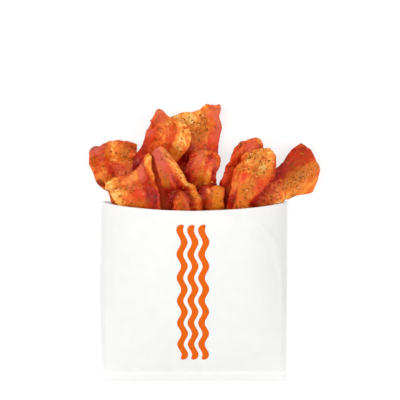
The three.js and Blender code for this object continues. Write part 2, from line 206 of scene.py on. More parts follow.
def friedBelly():
    # Fried streaky pork belly under a thin sugar glaze: amber fat that shades into brick-red
    # lean along the strip, a wet sheen, and a dull dusting of pepper. Shade in the gaps between the
    # strips, and highlights and sheen on some edges and lean, are painted into its colour as well.
    material, tree, shader = newMaterial(
        "fried_pork_belly_sugar_glazed",
        IOR=1.45,
        Specular_IOR_Level=0.15,
        Coat_Weight=0.09,
        Coat_Roughness=0.12,
        Coat_IOR=1.47,
        Subsurface_Weight=0.12,
        Subsurface_Radius=(1.0, 0.28, 0.1),
        Subsurface_Scale=1.2 * mm,
    )
    mask = {
        name: addNode(tree, "Attribute", output="Fac", attribute_name=name)
        for name in ("fatShadeAndHighlight", "glazePoolAndPaintedLight", "blushAndSheen", "amber", "dust", "char")
    }
    lay = addNode(tree, "Attribute", output="Vector", attribute_name="lay")
    across, along = belly["fibre"]
    drawnOut = addNode(
        tree, "VectorMath", {0: lay, 1: (1 / across, 1 / along, 1.0)}, operation="MULTIPLY"
    )
    noises = {
        "mottle": (lay, 1 / belly["mottle"], 4.0, 0.62),
        "fibre": (drawnOut, 1.0, 2.0, 0.5),
        "grain": (lay, 1 / belly["grain"], 2.0, 0.5),
        "specks": (lay, 1 / belly["speck"], 3.0, 0.7),
    }
    sockets = ("Vector", "Scale", "Detail", "Roughness")
    pattern = {
        name: addNode(tree, "TexNoise", dict(zip(sockets, values)))
        for name, values in noises.items()
    }

    # ground pepper lies closer together where it is dusted, and the mottling breaks up the char
    cover = {"marbling": pattern["mottle"]}
    cover["dust"] = addNode(
        tree,
        "Math",
        {0: mask["dust"], 1: belly["dustPull"], 2: pattern["specks"]},
        operation="MULTIPLY_ADD",
    )
    cover["char"] = addNode(
        tree, "Math", {0: mask["char"], 1: pattern["mottle"]}, operation="MULTIPLY"
    )
    for name, value in cover.items():
        start, end, most = belly[name + "Cover"]
        cover[name] = addNode(
            tree,
            "MapRange",
            {0: value, 1: start, 2: end, 4: most},
            interpolation_type="SMOOTHSTEP",
        )

    # fat and lean, with the shade and highlights painted in the same value, and edges that the
    # mottling and the fibres fray
    pattern["marbling"] = cover.pop("marbling")
    frayed, relief = mask["fatShadeAndHighlight"], pattern["grain"]
    for name, much in belly["frays"].items():
        frayed = addNode(
            tree, "Math", {0: pattern[name], 1: much, 2: frayed}, operation="MULTIPLY_ADD"
        )
    centred = addNode(
        tree,
        "Math",
        {0: frayed, 1: sum(belly["frays"].values()) / 2},
        operation="SUBTRACT",
        use_clamp=True,
    )
    colour = addNode(tree, "ValToRGB", {"Fac": centred}, stops=belly["tissue"])
    for name in ("blushAndSheen", "amber", "glazePoolAndPaintedLight", "dust", "char"):
        much = cover.get(name, mask[name])
        colour = addNode(
            tree,
            "Mix",
            {0: much, 6: colour, 7: hexColour(belly[name])},
            output=2,
            data_type="RGBA",
        )

    glazed, dusted = belly["roughness"]
    rough = addNode(tree, "MapRange", {0: cover["dust"], 3: glazed, 4: dusted})
    for name, much in belly["reliefs"].items():
        relief = addNode(
            tree, "Math", {0: pattern[name], 1: much, 2: relief}, operation="MULTIPLY_ADD"
        )
    strength, depth = belly["bump"]
    bump = addNode(tree, "Bump", {"Height": relief, "Strength": strength, "Distance": depth * mm})
    tree.links.new(colour, shader.inputs["Base Color"])
    tree.links.new(rough, shader.inputs["Roughness"])
    tree.links.new(bump, shader.inputs["Normal"])
    return material


def grainsOf(name, stops, **shaderInputs):
    # many small grains, each with its own tone between the stops
    material, tree, shader = newMaterial(name, **shaderInputs)
    tone = addNode(tree, "Attribute", output="Fac", attribute_name="tone")
    colour = addNode(tree, "ValToRGB", {"Fac": tone}, stops=stops)
    tree.links.new(colour, shader.inputs["Base Color"])
    return material


def crackedPeppercorn():
    # Coarsely cracked black pepper: matt, wrinkled husk, toasted brown, with some tan cores.
    return grainsOf(
        "black_pepper_coarsely_cracked",
        [(0.0, "#82400f"), (0.4, "#9e541a"), (0.75, "#ba7628"), (1.0, "#d2994a")],
        Roughness=0.8,
        IOR=1.45,
        Specular_IOR_Level=0.1,
    )


def glazeBeadsWithHighlight():
    # Sugar glaze that drew together and set in beads: smooth, wet, a little paler than the meat
    # below as a painted highlight, so that each bead is a small light.
    return grainsOf(
        "sugar_glaze_beads_painted_highlight",
        [(0.1, "#bc4630"), (0.4, "#e2704a"), (0.65, "#f4965e"), (0.95, "#fdcf98")],
        Roughness=0.25,
        IOR=1.47,
        Specular_IOR_Level=0.4,
    )


kraft = {
    "cloud": 7.0,  # size of the fainter and denser places of the pulp
    "tooth": 0.5,  # coarser than real so that it shows
    "bump": (0.12, 0.05),  # strength and depth
    "tints": [(0.3, "#e2e3e1"), (0.7, "#e5e6e4")],
}


def bleachedPaper():
    # Bleached kraft paper, machine finished: matt white, faintly cloudy where the light falls
    # through its fibres, with a fine tooth.
    material, tree, shader = newMaterial(
        "kraft_paper_bleached",
        Roughness=0.78,
        IOR=1.4,
        Subsurface_Weight=0.5,
        Subsurface_Radius=(1.0, 1.0, 1.0),
        Subsurface_Scale=0.8 * mm,
    )
    place = addNode(tree, "NewGeometry", output="Position")
    cloud, tooth = (
        addNode(tree, "TexNoise", {"Vector": place, "Scale": 1 / (size * mm), "Detail": detail})
        for size, detail in ((kraft["cloud"], 4.0), (kraft["tooth"], 2.0))
    )
    tint = addNode(tree, "ValToRGB", {"Fac": cloud}, stops=kraft["tints"])
    strength, depth = kraft["bump"]
    bump = addNode(tree, "Bump", {"Height": tooth, "Strength": strength, "Distance": depth * mm})
    tree.links.new(tint, shader.inputs["Base Color"])
    tree.links.new(bump, shader.inputs["Normal"])
    return material


def printedInk():
    # Flat orange ink, printed in one pass on uncoated paper: matt, a little starved in places.
    material, tree, shader = newMaterial(
        "orange_ink_flexo_printed", Roughness=0.62, IOR=1.45, Specular_IOR_Level=0.1
    )
    starvedPlaces = 0.9
    place = addNode(tree, "NewGeometry", output="Position")
    starved = addNode(
        tree, "TexNoise", {"Vector": place, "Scale": 1 / (starvedPlaces * mm), "Detail": 3.0}
    )
    stops = [(0.35, "#d35806"), (0.75, "#d9600c")]
    orange = addNode(tree, "ValToRGB", {"Fac": starved}, stops=stops)
    tree.links.new(orange, shader.inputs["Base Color"])
    return material


def shootingTable():
    # Opal acrylic lit from below: matt, even, and nearly without shadows.
    material, _, _ = newMaterial(
        "acrylic_opal_shooting_table",
        Base_Color=hexColour("#8a8a8a"),
        Roughness=0.9,
        Emission_Color=hexColour("#ffffff"),
        Emission_Strength=0.72,
    )
    return material


bacon = friedBelly()
husk = crackedPeppercorn()
sugar = glazeBeadsWithHighlight()
paper = bleachedPaper()
ink = printedInk()
print("materials made")


camera = {
    "aim": (3.4, 115.4, 0.0),  # just inside the mouth
    "distance": 700.0,
    "tilt": 13.0,  # degrees from straight down, towards the mouth
    "takesIn": 241.3,  # mm across the picture at the aim
    "sensor": 36.0,
    "clip": (50, 20000),
}
aim = Vector(toFrame(camera["aim"]))
tilt = math.radians(camera["tilt"])
towardsCamera = Vector((0, math.sin(tilt), math.cos(tilt)))
cameraUp = Vector((0, math.cos(tilt), -math.sin(tilt)))
turned = Matrix((cameraUp.cross(towardsCamera), cameraUp, towardsCamera)).transposed()
lens = bpy.data.cameras.new("camera")
lens.sensor_width = camera["sensor"]
lens.lens = camera["sensor"] * camera["distance"] / camera["takesIn"]
lens.clip_start, lens.clip_end = (distance * mm for distance in camera["clip"])
viewer = bpy.data.objects.new("camera", lens)
standpoint = Matrix.Translation(aim + towardsCamera * camera["distance"] * mm)
viewer.matrix_world = standpoint @ turned.to_4x4()
bpy.context.scene.collection.objects.link(viewer)
bpy.context.scene.camera = viewer
bpy.context.scene.view_settings.view_transform = "Standard"

# name, place and aim in the sleeve's coordinates, size, watts
lights = [
    ("soft_box_left", (-850, 250, 1170), (0, 100, 5), 800, 9.3),
    ("soft_box_right", (850, 100, 1160), (0, 100, 5), 800, 6.4),
    ("soft_box_above", (-60, 380, 900), (0, 120, 5), 350, 1.7),
]
for name, place, target, size, watts in lights:
    lamp = bpy.data.lights.new(name, "AREA")
    lamp.size = size * mm
    lamp.energy = watts
    holder = bpy.data.objects.new(name, lamp)
    holder.location = Vector(toFrame(place))
    facing = Vector(toFrame(target)) - holder.location
    holder.rotation_euler = facing.to_track_quat("-Z", "Y").to_euler()
    bpy.context.scene.collection.objects.link(holder)

whiteRoom = {"Color": hexColour("#ffffff"), "Strength": 0.6}
world = bpy.data.worlds.new("white_room")
world.use_nodes = True
for socket, value in whiteRoom.items():
    world.node_tree.nodes["Background"].inputs[socket].default_value = value
bpy.context.scene.world = world

table = {
    "half": 2000,
    "drop": 0.05,  # keeps the table just clear of the sleeve's back
}
half, drop = table["half"] * mm, table["drop"] * mm
corners = [(x * half, y * half, -drop) for x, y in ((-1, -1), (1, -1), (1, 1), (-1, 1))]
floorMesh = bpy.data.meshes.new("floor")
floorMesh.from_pydata(corners, [], [(0, 1, 2, 3)])
floorMesh.materials.append(shootingTable())
floor = bpy.data.objects.new("floor", floorMesh)
bpy.context.scene.collection.objects.link(floor)
print("camera, light and floor set")


def foldX(y, side):
    share = y / sleeve["length"]
    bow = sleeve["leftBow"] * np.sin(np.pi * share) if side < 0 else 0
    return side * (sleeve["width"] / 2 - sleeve["mouthDrawIn"] * share**2) - bow


def backZ(across, y):
    outside = np.maximum(0, np.abs(across) - sleeve["flatShare"]) / (1 - sleeve["flatShare"])
    return sleeve["foldLift"] * (y / sleeve["length"]) ** sleeve["liftGrowth"] * outside**2


creases = {
    "setIn": (0.02, 0.2),  # share of the length above which the panel is free to crease
    "turn": {"x": -19, "height": 0.5, "halfWidth": 9},  # soft upright turn left of the middle
    "corner": [(31, 111), (43, 101), (50, 92), (54, 70), (56, 46)],  # round the right corner
    "cornerHeight": 0.55,
    "cornerHalfWidth": 2.2,
    "cornerRises": (30, 70),  # from and to which height
    "billow": 0.22,  # slight waves of the panel over the strips
    "billowCell": 17,
    "billowPlace": 300,  # where the panel lies in the random field
}


def cornerCrease(x, y):
    # how near the crease round the corner is, from 0 to 1
    reach = np.full(np.shape(x), np.inf)
    corner = np.array(creases["corner"], float)
    for a, b in zip(corner, corner[1:]):
        step = b - a
        share = np.clip(((x - a[0]) * step[0] + (y - a[1]) * step[1]) / (step @ step), 0, 1)
        reach = np.minimum(reach, np.hypot(x - a[0] - share * step[0], y - a[1] - share * step[1]))
    return np.exp(-((reach / creases["cornerHalfWidth"]) ** 2)) * smooth(*creases["cornerRises"], y)


def frontZ(across, y):
    # height of the front panel's outer face
    share = y / sleeve["length"]
    filled = 1 - (1 - share) ** 2
    pressed = smooth(1 - sleeve["foldMargin"], 1, np.abs(across))
    z = backZ(across, y) + sleeve["seam"] + (sleeve["foldThickness"] - sleeve["seam"]) * pressed
    z = z + sleeve["crest"] * filled * (1 - np.abs(across) ** sleeve["fullness"])
    x = across * sleeve["width"] / 2
    free = smooth(*creases["setIn"], share) * (1 - pressed)
    turn = creases["turn"]
    z = z + free * turn["height"] * np.exp(-(((x - turn["x"]) / turn["halfWidth"]) ** 2))
    z = z + free * creases["cornerHeight"] * cornerCrease(x, y)
    place = creases["billowPlace"]
    billow = patchwork(x + place, y + place, creases["billowCell"], 5)
    return z + free * creases["billow"] * billow


def frontPoint(x, y, lift=0.0):
    # a point of the front panel; y counts along the paper, whose slope draws the lip in
    middle = (foldX(y, 1) + foldX(y, -1)) / 2
    across = np.clip((x - middle) / ((foldX(y, 1) - foldX(y, -1)) / 2), -1, 1)
    drop = (y / sleeve["length"]) ** 2 * (1 - np.abs(across)) ** sleeve["lipGrowth"]
    return np.stack([x, y - sleeve["lipDrop"] * drop, frontZ(across, y) + lift], axis=-1)


def sleeveLoop(y, inset, flapPaper):
    # once round the sleeve: back panel, right fold, front panel, left fold
    radius = sleeve["foldThickness"] / 2
    columns = np.linspace(-1, 1, sleeve["columns"] + 1)
    columns = (columns + np.sin(columns * math.pi / 2)) / 2
    left, right = foldX(y, -1) + radius, foldX(y, 1) - radius
    x = (left + right) / 2 + (right - left) / 2 * columns
    back = np.stack([x, np.full_like(x, y), backZ(columns, y) + inset], axis=-1)
    front = frontPoint(x, y)
    front[:, 2] = frontZ(columns, y) + flapPaper - inset
    folds = []
    for side, x0 in ((1, right), (-1, left)):
        across = np.array(float(side))
        bottom = backZ(across, y) + inset
        half = (frontZ(across, y) + flapPaper - inset - bottom) / 2
        turn = np.linspace(-math.pi / 2, math.pi / 2, sleeve["foldSteps"] + 2)[1:-1] * side
        foldXs = x0 + side * (radius - inset) * np.cos(turn)
        foldZs = bottom + half + half * np.sin(turn)
        folds.append(np.stack([foldXs, np.full_like(turn, y), foldZs], axis=-1))
    return np.vstack([back, folds[0], front[::-1], folds[1]])


def pressTogether(loop, y):
    # rounds the sleeve's bottom crease: the loop closes to a line at y 0
    share = math.sqrt(max(0.0, 1 - (1 - min(y / sleeve["creaseRound"], 1)) ** 2))
    middle = (loop[:, 2].min() + loop[:, 2].max()) / 2
    loop[:, 2] = middle + (loop[:, 2] - middle) * share
    return loop


def paperSleeve():
    length, flap, step = sleeve["length"], sleeve["flap"], sleeve["flapStep"]
    rounding, flapPaper = sleeve["creaseRound"], sleeve["flapPaper"]
    turns = np.linspace(0, math.pi / 2, sleeve["creaseRows"])
    creaseRows = [rounding * (1 - math.cos(turn)) for turn in turns]
    flapRows = np.linspace(rounding, flap - step, sleeve["flapRows"] + 1)[1:]
    upRows = np.linspace(flap + step, length, round((length - flap) / sleeve["rowStep"]))
    outer = [pressTogether(sleeveLoop(y, 0, flapPaper), y) for y in creaseRows]
    outer += [sleeveLoop(y, 0, flapPaper) for y in flapRows]
    outer += [sleeveLoop(y, 0, 0) for y in upRows]
    innerRows = [sleeve["pocketFoot"], flap, *upRows[2:]]
    loops = outer + [sleeveLoop(y, sleeve["paper"], 0) for y in reversed(innerRows)]
    around = len(loops[0])
    faces = []
    for row in range(len(loops) - 1):
        for k in range(around):
            a, b = row * around + k, row * around + (k + 1) % around
            faces.append((a, a + around, b + around, b))
    # the pocket's own bottom, from the back panel to the front one, and inside both folds
    first = (len(loops) - 1) * around
    panel, folded = sleeve["columns"] + 1, sleeve["foldSteps"]
    lastFront = first + 2 * panel + folded - 1
    for k in range(panel - 1):
        faces.append((first + k, lastFront - k, lastFront - k - 1, first + k + 1))
    faces.append(tuple(first + panel - 1 + k for k in range(folded + 2)))
    faces.append((*(lastFront + k for k in range(folded + 1)), first))
    piece = newPiece("paper_sleeve_white", np.vstack(loops), faces, paper)
    form = bmesh.new()
    form.from_mesh(piece.data)
    touching = 0.001 * mm
    bmesh.ops.remove_doubles(form, verts=form.verts, dist=touching)
    bmesh.ops.dissolve_degenerate(form, edges=form.edges, dist=touching / 2)
    bmesh.ops.recalc_face_normals(form, faces=form.faces)
    form.to_mesh(piece.data)
    form.free()
    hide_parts("paper_sleeve")


waves = {
    "middle": -0.8,
    "reach": (16.0, 107.0),  # along the panel
    "stripes": 3,
    "pitch": 6.4,
    "halfWidth": 2.0,
    "thinnest": 0.02,  # at the very ends
    "swing": 1.3,
    "wave": 15.2,
    "lift": 0.03,  # keeps the ink just proud of the paper
    "depth": 0.12,  # of the ink's solid, most of it sunk in the paper
    "rows": 260,
    "columns": 9,
}


def wavePrint():
    # plain wavy stripes with round ends
    points, faces = [], []
    rows, columns, broad = waves["rows"], waves["columns"], waves["halfWidth"]
    start, end = waves["reach"]
    y = np.linspace(start, end, rows)
    fromEnd = np.minimum(np.minimum(y - start, end - y), broad)
    half = np.sqrt(np.maximum(broad**2 - (broad - fromEnd) ** 2, 0))
    half = np.maximum(half, waves["thinnest"])
    share = np.linspace(-1, 1, columns)
    for stripe in range(waves["stripes"]):
        x0 = waves["middle"] + (stripe - (waves["stripes"] - 1) / 2) * waves["pitch"]
        line = x0 + waves["swing"] * np.sin(2 * math.pi * (y - start) / waves["wave"])
        x = line[:, None] + half[:, None] * share[None, :]
        grid = frontPoint(x, np.repeat(y[:, None], columns, axis=1), waves["lift"])
        first = len(points)
        points += grid.reshape(-1, 3).tolist()
        for i in range(rows - 1):
            for j in range(columns - 1):
                a = first + i * columns + j
                faces.append((a, a + 1, a + columns + 1, a + columns))
    piece = newPiece("sleeve_print_waves", points, faces, ink)
    form = bmesh.new()
    form.from_mesh(piece.data)
    bmesh.ops.solidify(form, geom=form.faces[:], thickness=waves["depth"] * mm)
    form.to_mesh(piece.data)
    form.free()


paperSleeve()
wavePrint()
print("sleeve folded and printed")


cut = {
    "thickness": 2.6,
    "edgeThinning": 0.4,  # share of the thickness that the very edges lose
    "curlFrom": (0.55, 0.8),  # shares of the length between which the edges curl up
    "tipStart": 0.72,
    "endStart": 0.9,  # share of the length where the cut end starts
    "middleRipple": 0.65,  # share of the ripple's height that the middle has
    "edgeWander": 0.45,
    "wanderPace": 1.7,  # how many times as often as the ripples the edges wander
    "wanderSkew": 2,
    "cell": 0.62,  # size of the mesh's cells where the strip is seen
    "crowding": 0.1,  # how much closer its rows lie towards the tip
    "edgeCrowding": 0.25,  # and its columns towards the two edges
    "rimRound": 0.5,  # how far the rim bulges between the two faces
    "rimRows": 3,
    "streakShift": (40, 7),  # gives each strip, and its underside, streaks of its own
}

# Each strip's stations run from its root in the sleeve to its tip, as
# [x, y, z, width, roll in degrees, ripple]. tip says how far the cut end reaches, from the left
# edge to the right. ripples are [number, where they start, how askew they run], curl is how high
# the two edges rise, and groove is [place across, depth, half width]. peppered is [flakes, from
# and to along, from and to across], for the flakes of the solids.
# atMouth and atTip give the tissue from the left edge at -1 to the right at 1: 0 is dark lean and
# 1 pale fat. Low values also stand for painted shade where a strip runs under its neighbours, and
# high ones at an edge for a painted highlight. A patch is (place along, place across, mm along,
# mm across, strength), and a fat one pales the meat, or deepens it where its strength is negative;
# many deepening ones are painted shade in the gaps between strips.
farLeft = {
    "node": "strip_far_left",
    "stations": [
        [-27, 58, 2.6, 20, 0, 0.2],
        [-30.5, 77.5, 2.9, 21, 0, 0.2],
        [-34, 96.5, 3.8, 22, 0, 0.3],
        [-41, 120.5, 5, 19.5, 0, 0.4],
        [-47, 139, 6, 29, -4, 2],
        [-48, 150.5, 5.6, 28, -4, 2],
    ],
    "tip": [-1, 0.5, 2, 1.5, -1.5],
    "ripples": [4.6, 0.1, 0.8],
    "curl": [4, 0],
    "groove": [-0.1, 1.8, 0.3],
    "peppered": [16, 0.62, 0.97, -0.75, 0.8],
    "atMouth": [(-1, 0.5), (-0.6, 0.6), (-0.3, 0.25), (0, 0.5), (0.5, 0.6), (1, 0.45)],
    "atTip": [
        (-1, 0.4), (-0.6, 0.45), (-0.35, 0.4), (-0.15, 0.55), (0, 0.68), (0.25, 0.62),
        (0.4, 0.55), (0.75, 0.47), (1, 0.42),
    ],
    "patches": {
        "fatShadeAndHighlight": [
            (0.76, -0.3, 4, 1.4, -0.7), (0.93, 0.05, 8, 1.8, 0.6), (0.76, -0.7, 4, 3, 0.3),
            (0.76, 0.1, 4, 4, -0.4),
        ],
        "glazePoolAndPaintedLight": [(0.8, -0.35, 6, 2, 0.7), (0.86, -0.75, 4, 2.2, 0.4), (0.9, 0.8, 7, 1.6, 0.5)],
        "blushAndSheen": [(0.96, -0.75, 5, 4.5, 1.0), (0.88, -0.55, 5, 2, 0.55)],
        "amber": [(0.88, -0.28, 8, 1.2, 0.6), (0.86, 0.35, 7, 4, 0.5)],
        "dust": [(0.88, 0.5, 8, 3.5, 1.0), (0.96, 0.6, 5, 4, 0.9), (0.87, -0.9, 6, 1.8, 1.0)],
        "char": [(0.99, -0.85, 2.5, 4, 0.65), (0.72, -0.95, 3, 2, 0.9)],
    },
}
frontLeft = {
    "node": "strip_front_left",
    "stations": [
        [-21, 60.5, 10, 22, 0, 0.2],
        [-24.5, 78.5, 10.8, 24, 4, 0.2],
        [-28, 96, 12.4, 26, 9, 0.2],
        [-30, 110, 13.1, 24, 18, 0.3],
        [-36, 126.5, 15.8, 28.5, 9, 1.4],
        [-39, 137.5, 18.6, 30, -3, 1.6],
    ],
    "tip": [-3.5, -2.5, -3, -0.5, 5.5],
    "ripples": [4.2, 0.5, 1],
    "curl": [0, 0],
    "groove": [0.75, 3, 0.3],
    "peppered": [15, 0.58, 0.95, -0.85, 0.8],
    "atMouth": [
        (-1, 0.85), (-0.7, 0.8), (-0.45, 0.6), (0, 0.5), (0.4, 0.35), (0.55, 0.1),
        (0.9, 0.08), (1, 0.2),
    ],
    # the pale right edge here is a painted highlight where the strip turns to the light, and the
    # dark lean beside it, deepened at 0.73, is painted shade where that edge curls away
    "atTip": [
        (-1, 0.88), (-0.78, 0.86), (-0.6, 0.7), (-0.3, 0.64), (0.32, 0.66), (0.42, 0.5),
        (0.48, 0.24), (0.72, 0.2), (0.82, 0.6), (1, 0.78),
    ],
    "patches": {
        "fatShadeAndHighlight": [
            (0.95, -0.85, 8, 3, 0.5), (0.78, -0.85, 5, 3, 0.5), (0.94, 0.52, 6, 2.4, 0.6),
            (0.73, 0.68, 11, 2.3, -0.85), (0.97, 0.85, 5, 2.5, 0.6),
        ],
        "glazePoolAndPaintedLight": [(0.74, 0.05, 4, 4, 1.0), (0.8, 0.62, 7, 2.2, 0.6)],
        "blushAndSheen": [(0.93, 0.52, 8, 2.5, 0.8), (0.88, 0.0, 10, 4, 0.3)],
        "amber": [(0.68, -0.1, 2.5, 7, 0.6)],
        "dust": [(0.9, -0.5, 9, 1.8, 0.8), (0.76, -0.72, 4, 3, 0.7), (0.68, -0.5, 2, 8, 0.9)],
    },
}
centreLeft = {
    "node": "strip_centre_left",
    "stations": [
        [-21, 59.5, 6.4, 21, 0, 0.2],
        [-22.5, 78.5, 6.9, 22, 0, 0.2],
        [-24.5, 97.5, 7.3, 22.5, 2, 0.2],
        [-26, 115.5, 8.8, 26, 3, 0.4],
        [-25.5, 136, 10.8, 21.5, 0, 1.4],
        [-15, 156.5, 11.8, 26.5, 0, 2],
        [-15.5, 167.5, 12.8, 21, 0, 2],
    ],
    "tip": [0, 5.5, 1.5, -2, -6],
    "ripples": [4.8, 0.35, -0.6],
    "curl": [1.5, 0],
    "groove": [0.3, 1.8, 0.22],
    "peppered": [15, 0.6, 0.96, -0.7, 0.85],
    # the dark right edge at the mouth is painted shade where the strip runs under its neighbours
    "atMouth": [(-1, 0.05), (-0.75, 0.1), (-0.4, 0.35), (0.2, 0.32), (0.5, 0.45), (1, 0.05)],
    "atTip": [
        (-1, 0.42), (-0.7, 0.52), (-0.4, 0.62), (0, 0.6), (0.2, 0.54), (0.35, 0.64),
        (0.6, 0.82), (0.9, 0.82), (1, 0.5),
    ],
    "patches": {
        # the deep patch at 0.68 low on the left is painted shade where the strip goes under the
        # front ones
        "fatShadeAndHighlight": [
            (0.96, 0.2, 6, 3, 0.5), (0.88, -0.2, 8, 2.5, 0.2), (0.8, 0.27, 6, 1.0, -0.35),
            (0.84, 0.7, 9, 3.5, 0.7), (0.68, -0.85, 10, 3, -1.0),
        ],
        # the broad red patch at 0.6 is painted light: it lifts the shaded hole between the front
        # strips to crimson
        "glazePoolAndPaintedLight": [(0.84, 0.12, 5, 2.4, 0.7), (0.78, -0.75, 7, 2.5, 0.5), (0.6, 0.5, 14, 8, 0.9)],
        "blushAndSheen": [(0.95, -0.4, 8, 5, 0.6), (0.82, -0.9, 6, 2.2, 0.7)],
        "amber": [(0.77, 0.6, 4, 3, 0.5)],
        "dust": [(0.83, 0.65, 6, 3, 0.75), (0.84, -0.53, 2, 1.5, 1.0), (0.93, 0.6, 3, 2, 0.6)],
    },
}
tallCentre = {
    "node": "strip_tall_centre",
    "stations": [
        [7, 53, 2.6, 19, 0, 0.2],
        [7, 73.5, 2.7, 20, 0, 0.2],
        [7, 93.5, 3, 21, 0, 0.2],
        [5.5, 113, 3.6, 21.5, 0, 0.5],
        [-0.5, 135, 3.9, 24.5, 0, 1.2],
        [2.5, 155, 3.8, 26, 0, 1.9],
        [1, 169.5, 4.2, 29.5, 0, 2],
    ],
    "tip": [-1.5, 0.5, 0.5, 3.5, 3],
    "ripples": [5.4, 0.2, 0.4],
    "curl": [0, 1.5],
    "groove": [0.45, 1.2, 0.2],
    "peppered": [18, 0.72, 0.98, -0.85, 0.8],
    "atMouth": [(-1, 0.1), (-0.5, 0.25), (0, 0.42), (0.5, 0.4), (0.8, 0.2), (1, 0.15)],
    "atTip": [
        (-1, 0.9), (-0.6, 0.92), (-0.2, 0.84), (0.1, 0.74), (0.35, 0.68), (0.6, 0.6),
        (0.8, 0.52), (1, 0.46),
    ],
    "patches": {
        # the deep patches at 0.72 and 0.74 are painted shade where the strip runs under its
        # neighbours
        "fatShadeAndHighlight": [
            (0.96, -0.45, 7, 6, 0.7), (0.72, 0.6, 5, 6, -0.7), (0.74, -0.4, 7, 3, -0.85),
            (0.85, -0.62, 8, 1.5, -0.5),
        ],
        "glazePoolAndPaintedLight": [(0.92, 0.66, 2.5, 1.4, 0.7), (0.8, 0.7, 4, 4, 0.8), (0.78, 0.2, 3, 3, 0.5)],
        "blushAndSheen": [(0.97, 0.8, 4, 4, 0.5), (0.9, 0.9, 11, 2.2, 0.85)],
        "amber": [(0.84, 0.1, 6, 5, 0.5)],
        "dust": [(0.9, 0.2, 10, 5, 0.95), (0.95, -0.4, 6, 6, 0.85), (0.84, 0.1, 6, 7, 0.85)],
    },
}
centreRed = {
    "node": "strip_centre_red",
    "stations": [
        [5, 59.5, 6.3, 17, 0, 0.2],
        [5, 78.5, 6.7, 17, 0, 0.2],
        [4.5, 97.5, 7.2, 17, 0, 0.2],
        [4, 114, 8.2, 17, 0, 0.4],
        [3.5, 132, 10.2, 19, 0, 1.2],
        [7.5, 146.5, 12.6, 18.5, 0, 1.4],
    ],
    "tip": [-4, 0.5, 1.5, 2.5, 0.5],
    "ripples": [4.4, 0.6, 0.5],
    "curl": [2, 2],
    "groove": [0, 0.8, 0.3],
    "peppered": [8, 0.7, 0.96, -0.8, 0.8],
    "atMouth": [
        (-1, 0.08), (-0.5, 0.15), (-0.1, 0.45), (0.2, 0.6), (0.55, 0.68), (0.72, 0.15), (1, 0.05),
    ],
    "atTip": [
        (-1, 0.3), (-0.7, 0.5), (-0.4, 0.6), (-0.15, 0.62), (0.1, 0.5), (0.3, 0.32),
        (0.5, 0.36), (0.8, 0.42), (1, 0.48),
    ],
    "patches": {
        # the deep patch at 0.84 near the right edge is painted shade beside the strip in front
        "fatShadeAndHighlight": [
            (0.94, 0.3, 2.6, 1.8, -1.0), (0.82, 0.5, 6, 1.6, 0.9), (0.84, 0.86, 5, 1.5, -1.0),
            (0.8, -0.85, 8, 2.5, -0.9),
        ],
        "glazePoolAndPaintedLight": [(0.88, 0.35, 4, 3, 0.7), (0.84, -0.6, 5, 2, 0.5)],
        "blushAndSheen": [(0.95, -0.4, 7, 3, 0.55), (0.93, 0.7, 5, 2.5, 0.6)],
        "amber": [(0.8, 0.05, 5, 1.8, 0.75), (0.78, 0.5, 6, 2, 0.5)],
        "dust": [(0.9, -0.35, 6, 3, 0.4)],
        "char": [(0.97, 0.3, 2, 1.5, 0.5)],
    },
}
lowAmber = {
    "node": "strip_low_amber",
    "stations": [
        [10, 60.5, 10.2, 18, 0, 0.2],
        [10, 74, 10.7, 18, 0, 0.2],
        [9.5, 87.5, 11.3, 18, 0, 0.2],
        [9, 100.5, 12.1, 18, 0, 0.3],
        [8.5, 113.5, 13.4, 18, 0, 0.5],
        [9.5, 127, 15.2, 16, 0, 0.8],
    ],
    "tip": [-2, 0, 0, 1, 0.5],
    "ripples": [3.6, 0.1, 0],
    "curl": [0, 1.2],
    "groove": [-0.3, 1.2, 0.3],
    "peppered": [6, 0.8, 0.97, -0.8, 0.8],
    # the near-black left part is painted shade, cast by the curl of the strip in front
    "atMouth": [
        (-1, 0.02), (-0.35, 0.03), (-0.15, 0.3), (0.2, 0.4), (0.35, 0.55), (0.75, 0.56), (1, 0.5),
    ],
    "atTip": [
        (-1, 0.06), (-0.35, 0.08), (-0.15, 0.32), (0.2, 0.4), (0.35, 0.54), (0.75, 0.56), (1, 0.5),
    ],
    "patches": {
        "fatShadeAndHighlight": [(0.96, -0.05, 1.5, 1.5, 0.5)],
        "glazePoolAndPaintedLight": [(0.88, -0.45, 10, 1.8, 0.4), (0.86, 0.05, 7, 1.2, 0.5)],
        "amber": [(0.88, 0.6, 10, 3.5, 1.0)],
        "dust": [(0.92, 0.15, 3, 2.5, 1.0), (0.84, 0.1, 4, 2, 0.8)],
    },
}
